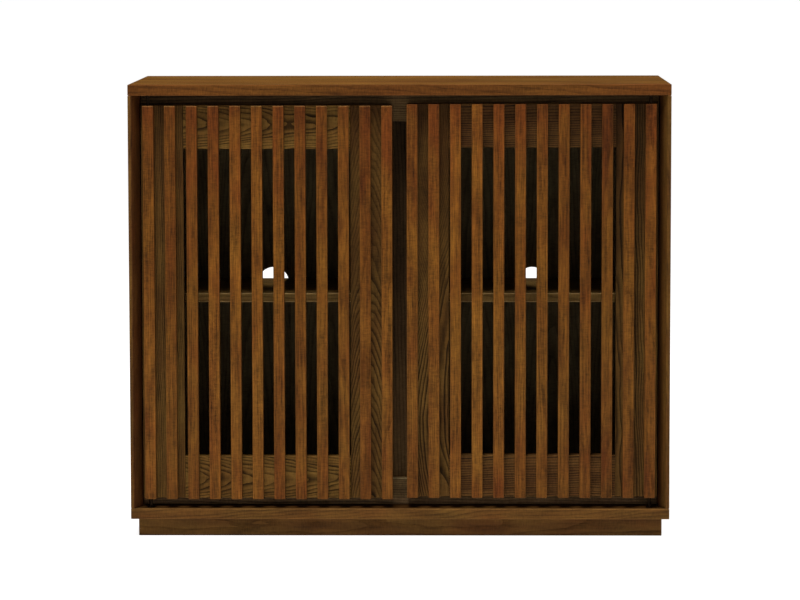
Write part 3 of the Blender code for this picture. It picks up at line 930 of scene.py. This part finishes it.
# Painted shade: how much fainter the inner stiles' figure gets towards their tops.
INNER_FADE = 0.45
FINE_RAIL_HEART: Pair = (0.070, -0.028)
LEFT_DOOR = SlatDoor(
    Side.LEFT,
    cuts={
        "stile_inner": Cut(
            Grain.UPRIGHT, heart=(0.004, -0.024), taper=0.130, seed=21.0, shade=0.92, fade=INNER_FADE
        ),
        "stile_outer": Cut(Grain.UPRIGHT, heart=(0.090, -0.020), taper=PLAIN_TAPER, seed=22.0, shade=0.94),
        "rail_bottom": Cut(Grain.SIDEWAYS, heart=(0.003, -0.021), taper=0.100, seed=23.0, shade=0.94),
        "rail_top": Cut(Grain.SIDEWAYS, heart=(0.006, -0.024), taper=0.060, seed=24.0, shade=0.92),
    },
    rail_wood=RAIL_WOOD,
    # Painted shade darkens the stiles towards their tops.
    stile_painted_shade=EdgeStainAndPaintedLight(Face.TOP, full=0.25, gone=0.50, tint=(0.76, 0.74, 0.74)),
    slat_stains=(
        # After the olive lower ends, a painted highlight along the top front arris.
        LOW_OLIVE, EdgeStainAndPaintedLight(Face.TOP, full=0.0013, gone=0.0026, tint=(1.5, 2.1, 3.2), also=Face.FRONT)
    ),
    # Painted light: the outermost slat is lighter towards its lower end.
    outer_painted_light=(EdgeStainAndPaintedLight(Face.BOTTOM, full=0.10, gone=0.46, tint=(1.35, 1.45, 1.45)),),
    first_seed=30.0,
    ruddy_slats=(2, 10, 11),
    ruddy_shade=-0.07,
    shade_swing=0.09,
)
RIGHT_DOOR = SlatDoor(
    Side.RIGHT,
    cuts={
        "stile_inner": Cut(
            Grain.UPRIGHT, heart=(-0.053, -0.024), taper=PLAIN_TAPER, seed=61.0, bow=0.040, fade=INNER_FADE
        ),
        "stile_outer": Cut(Grain.UPRIGHT, heart=(0.052, -0.058), taper=PLAIN_TAPER, seed=62.0, shade=0.88),
        "rail_bottom": Cut(Grain.SIDEWAYS, FINE_RAIL_HEART, PLAIN_TAPER, seed=63.0, shade=0.92),
        # Painted shade: the top rail is darker under the top board.
        "rail_top": Cut(Grain.SIDEWAYS, FINE_RAIL_HEART, PLAIN_TAPER, seed=64.0, shade=0.66),
    },
    rail_wood=FINE_RAIL_WOOD,
    # Painted shade darkens the stiles towards their tops.
    stile_painted_shade=EdgeStainAndPaintedLight(Face.TOP, full=0.0, gone=0.50, tint=(0.46, 0.43, 0.42)),
    slat_stains=(LOW_OLIVE,),
    outer_painted_light=(),
    first_seed=70.0,
    ruddy_slats=(10, 11, 12),
    ruddy_shade=-0.14,
    shade_swing=0.13,
)


def add_object(name: str, data: bpy.types.ID) -> bpy.types.Object:
    """Add an object to the scene.

    Args:
        name: Its name.
        data: Its mesh, lamp or camera.

    Returns:
        The object.
    """
    added = bpy.data.objects.new(name, data)
    bpy.context.scene.collection.objects.link(added)
    return added


def to_mesh(name: str, shape: bmesh.types.BMesh) -> bpy.types.Mesh:
    """Turn a finished bmesh into a mesh and free it.

    Args:
        name: Name of the mesh.
        shape: The bmesh.

    Returns:
        The mesh.
    """
    mesh = bpy.data.meshes.new(name)
    shape.to_mesh(mesh)
    shape.free()
    return mesh


@dataclass
class CrossScrew:
    """A screw's raised head with a cross recess."""

    recess_half: float = 0.0015
    recess_depth: float = 0.0009
    crown_radius: float = 0.0024  # Where the flat crown ends.
    crown_height: float = 0.0011
    rim_radius: float = 0.0036
    rim_height: float = 0.0005
    skirt: float = 0.0004  # How far the head goes into the wood.
    cells: int = 3  # Cells along each side of the recess's grid.
    turn_step: float = 0.7  # Turn from one screw of a row to the next.

    def head(self) -> bmesh.types.BMesh:
        """Build the head round the origin, with its crown towards +Y.

        Returns:
            The head's mesh.
        """
        head = bmesh.new()
        bmesh.ops.create_grid(head, x_segments=self.cells, y_segments=self.cells, size=self.recess_half)
        arm = self.recess_half / self.cells
        cross = [face for face in head.faces if min(map(abs, face.calc_center_median()[:2])) < arm]
        sunk = bmesh.ops.extrude_face_region(head, geom=cross)
        floor_corners = [part for part in sunk["geom"] if isinstance(part, bmesh.types.BMVert)]
        bmesh.ops.translate(head, verts=floor_corners, vec=(0.0, 0.0, -self.recess_depth))
        bmesh.ops.delete(head, geom=cross, context="FACES_ONLY")
        square = [edge for edge in head.edges if edge.is_boundary]
        ring = bmesh.ops.create_circle(head, radius=self.crown_radius, segments=len(square))["verts"]
        edge_loop = list(dict.fromkeys(edge for vert in ring for edge in vert.link_edges))
        bmesh.ops.bridge_loops(head, edges=square + edge_loop)
        levels = (
            (self.rim_radius / self.crown_radius, self.rim_height - self.crown_height),
            (1.0, -self.rim_height - self.skirt),
        )
        for widen, drop in levels:
            grown = bmesh.ops.extrude_edge_only(head, edges=edge_loop)["geom"]
            corners = [part for part in grown if isinstance(part, bmesh.types.BMVert)]
            bmesh.ops.scale(head, vec=(widen, widen, 1.0), verts=corners)
            bmesh.ops.translate(head, verts=corners, vec=(0.0, 0.0, drop))
            edges = [part for part in grown if isinstance(part, bmesh.types.BMEdge)]
            edge_loop = [edge for edge in edges if all(vert in corners for vert in edge.verts)]
        bmesh.ops.translate(head, verts=head.verts, vec=(0.0, 0.0, self.crown_height))
        bmesh.ops.recalc_face_normals(head, faces=head.faces)
        bmesh.ops.rotate(head, verts=head.verts, matrix=Matrix.Rotation(-math.pi / 2, 3, "X"))
        return head

    def row(self, name: str, places: Sequence[Vector], body: str) -> None:
        """Drive one screw at each place, all as one piece.

        Args:
            name: Name of the piece.
            places: Where the heads sit on the wood.
            body: The body that they ride on.
        """
        head_mesh = to_mesh("screw_head", self.head())
        gathered = bmesh.new()
        for number, place in enumerate(places):
            before = len(gathered.verts)
            gathered.from_mesh(head_mesh)
            gathered.verts.ensure_lookup_table()
            added = gathered.verts[before:]
            spin = Matrix.Rotation(number * self.turn_step, 3, "Y")
            bmesh.ops.rotate(gathered, verts=added, matrix=spin)
            bmesh.ops.translate(gathered, verts=added, vec=place)
        bpy.data.meshes.remove(head_mesh)
        piece = add_object(name, to_mesh(name, gathered))
        piece.data.materials.append(BLACK_STEEL.bench(name).material)
        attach(piece, body)
        LOG.info("%s made with %d heads", name, len(places))


@dataclass
class Fixings:
    """The screws that hold the slats to the frames and the back panel to the boards."""

    screw: CrossScrew = field(default_factory=CrossScrew)
    partition_heights: Tuple[float, ...] = (0.130, 0.270, 0.520, 0.660)  # Of the screws into it.
    shelf_reaches: Tuple[float, ...] = (0.090, 0.350)  # Of the screws, from the middle.

    def door_screws(self, door: SlatDoor) -> None:
        """Drive a screw into each end of each slat, from behind the frame.

        Args:
            door: The door.
        """
        places: List[Vector] = []
        for level in ("bottom", "top"):
            low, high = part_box(door.node(f"rail_{level}"))
            for number in range(1, door.slat_count + 1):
                slat_low, slat_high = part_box(door.node(f"slat_{number:02d}"))
                places.append(Vector(((slat_low.x + slat_high.x) / 2, high.y, (low.z + high.z) / 2)))
        self.screw.row(door.node("screws"), places, f"door_{door.side.value}")

    def back_screws(self) -> None:
        """Drive the back panel's screws into the partition and the shelves."""
        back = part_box("back_panel")[1].y
        shelf_low, shelf_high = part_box("shelf_left")
        shelf_height = (shelf_low.z + shelf_high.z) / 2
        places = [Vector((0.0, back, height)) for height in self.partition_heights]
        for reach in self.shelf_reaches:
            places += [Vector((-reach, back, shelf_height)), Vector((reach, back, shelf_height))]
        self.screw.row("back_panel_screws", places, "case")


@dataclass(frozen=True)
class Softbox:
    """A square lamp with a soft front."""

    name: str
    azimuth: float  # Degrees from straight ahead of the doors, less than 0 to their left.
    elevation: float  # Degrees above the floor.
    reach: float  # Distance from its aim.
    size: float
    power: float  # Light that it gives out.
    mirrored: bool = False  # Whether gloss shows it.
    aim: Triple = (0.0, 0.0, 0.40)  # The point that it faces.

    def hang(self) -> None:
        """Hang the lamp, out of the camera's sight."""
        azimuth, elevation = math.radians(self.azimuth), math.radians(self.elevation)
        level = math.cos(elevation)
        outward = Vector((math.sin(azimuth) * level, -math.cos(azimuth) * level, math.sin(elevation)))
        data = bpy.data.lights.new(self.name, "AREA")
        data.shape = "SQUARE"
        data.size = self.size
        data.energy = self.power
        lamp = add_object(self.name, data)
        lamp.location = Vector(self.aim) + outward * self.reach
        lamp.rotation_euler = outward.to_track_quat("Z", "Y").to_euler()
        lamp.visible_camera = False
        lamp.visible_glossy = self.mirrored


@dataclass
class Studio:
    """A pale floor, soft light, low light through the cable holes and the photograph's viewpoint."""

    camera_place: Triple = (0.0914, -6.3187, 0.9956)
    camera_turn: float = -0.01481  # About the upright, in radians.
    camera_dip: float = 0.09731  # How far it looks down, in radians.
    camera_roll: float = -0.00162  # In radians.
    lens: float = 166.48
    sensor_width: float = 36.0
    floor_radius: float = 240.0
    floor_sides: int = 96
    floor_tone: Triple = (0.40, 0.40, 0.40)
    floor_shade: float = 0.985  # Darkest mottling, 1 for none.
    floor_mottle: Noise = (3.0, 3.0, 3.0, 3.0)
    floor_glow: float = 0.92  # Light that it gives out itself.
    backdrop: float = 1.0  # Light of the surround that the camera sees.
    fill: float = 0.22  # Light of the surround on the sideboard.
    mirrored_fill: float = 0.06  # Light of the surround that gloss shows.
    softboxes: Tuple[Softbox, ...] = (
        Softbox(
            "key_softbox", azimuth=-16.0, elevation=67.0, reach=4.2, size=1.4, power=165.0, mirrored=True
        ),
        Softbox("top_softbox", azimuth=10.0, elevation=86.0, reach=3.8, size=2.4, power=50.0),
        Softbox("back_softbox", azimuth=150.0, elevation=40.0, reach=4.5, size=2.4, power=60.0),
    )
    beam_elevation: float = 7.0  # Degrees above the floor.
    beam_spread: float = 3.0  # In degrees.
    beam_power: float = 7.8
    beam_falls_on: Tuple[str, ...] = ("shelf_left", "shelf_right")

    def build_floor(self) -> None:
        """Lay a plain pale floor under the sideboard."""
        disc = bmesh.new()
        bmesh.ops.create_circle(disc, cap_ends=True, radius=self.floor_radius, segments=self.floor_sides)
        floor = add_object("studio_floor", to_mesh("studio_floor", disc))
        bench = MaterialBench("studio_floor")
        mottle = bench.cloud(bench.position, self.floor_mottle)
        darker = tuple(channel * self.floor_shade for channel in self.floor_tone)
        look = {
            "Base Color": bench.blend(mottle, self.floor_tone, darker),
            "Roughness": 1.0, "Specular IOR Level": 0.0,
            "Emission Color": (1.0, 1.0, 1.0), "Emission Strength": self.floor_glow,
        }
        bench.feed(bench.shader, look)
        floor.data.materials.append(bench.material)

    def build_light(self) -> None:
        """Set the soft surround and hang the softboxes."""
        world = bpy.data.worlds.new("studio_surround")
        bpy.context.scene.world = world
        world.use_nodes = True
        bench = ShaderBench(world.node_tree)
        path = bench.node("ShaderNodeLightPath", {})
        mirrored = self.mirrored_fill - self.fill
        unseen = bench.line(path["Is Glossy Ray"], mirrored, self.fill)
        seen = bench.maths("MULTIPLY", path["Is Camera Ray"], self.backdrop - self.fill)
        glow = {"Color": (1.0, 1.0, 1.0), "Strength": bench.maths("ADD", seen, unseen)}
        bench.feed(world.node_tree.nodes["Background"], glow)
        for softbox in self.softboxes:
            softbox.hang()

    def build_beam(self) -> None:
        """Let low light from behind in through the cable holes, onto the shelves alone."""
        data = bpy.data.lights.new("shelf_beam", "SUN")
        data.energy = self.beam_power
        data.angle = math.radians(self.beam_spread)
        beam = add_object("shelf_beam", data)
        beam.rotation_euler = Euler((math.radians(self.beam_elevation) - math.pi / 2, 0.0, 0.0))
        beam.visible_glossy = False
        lit = bpy.data.collections.new("shelf_beam_falls_on")
        for shelf in self.beam_falls_on:
            lit.objects.link(bpy.data.objects[shelf])
        beam.light_linking.receiver_collection = lit

    def build_camera(self) -> None:
        """Stand the camera where the photograph was taken."""
        data = bpy.data.cameras.new("studio_camera")
        data.lens = self.lens
        data.sensor_width = self.sensor_width
        camera = add_object("studio_camera", data)
        aim = (
            Matrix.Rotation(-self.camera_turn, 4, "Z")
            @ Matrix.Rotation(math.pi / 2 - self.camera_dip, 4, "X")
            @ Matrix.Rotation(self.camera_roll, 4, "Z")
        )
        camera.matrix_world = Matrix.Translation(self.camera_place) @ aim
        bpy.context.scene.camera = camera

    def build(self) -> None:
        """Build floor, light and camera."""
        self.build_floor()
        self.build_light()
        self.build_beam()
        self.build_camera()
        bpy.context.scene.view_settings.view_transform = "Standard"
        LOG.info("studio built")


def main() -> None:
    """Load the frame, dress it, add the fixings and set the studio."""
    logging.basicConfig(level=logging.INFO, format="%(message)s")
    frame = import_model()
    LOG.info("%d CAD nodes loaded", len(frame["nodes"]))
    Studio().build()
    Carcass().dress()
    fixings = Fixings()
    for door in (LEFT_DOOR, RIGHT_DOOR):
        door.dress()
        fixings.door_screws(door)
    fixings.back_screws()


if __name__ == "__main__":
    main()
